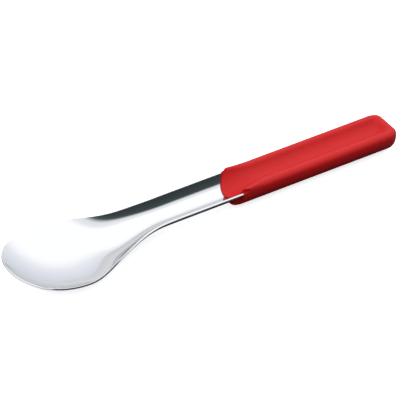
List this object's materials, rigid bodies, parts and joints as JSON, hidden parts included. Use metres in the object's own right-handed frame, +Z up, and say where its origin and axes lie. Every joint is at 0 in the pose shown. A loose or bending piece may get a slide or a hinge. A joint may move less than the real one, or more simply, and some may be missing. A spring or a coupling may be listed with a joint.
{
  "type": "ice cream scoop",
  "caption": "Spade-shaped ice cream scoop: a polished steel blade with a shallow bowl and trough-shaped neck, held in a moulded plastic grip.",
  "frame": {"origin": "centre of the footprint, on the surface that the scoop lies on", "axes": "+X from the blade's tip to the end of the handle, +Y across the handle, +Z up, out of the open bowl"},
  "size_m": [0.2606, 0.0648, 0.016],
  "materials": {
    "polished_steel": "mirror-polished stainless steel",
    "red_plastic": "satin moulded opaque red plastic"
  },
  "bodies": {
    "root": {"blade": "polished_steel", "handle": "red_plastic"}
  },
  "joints": []
}
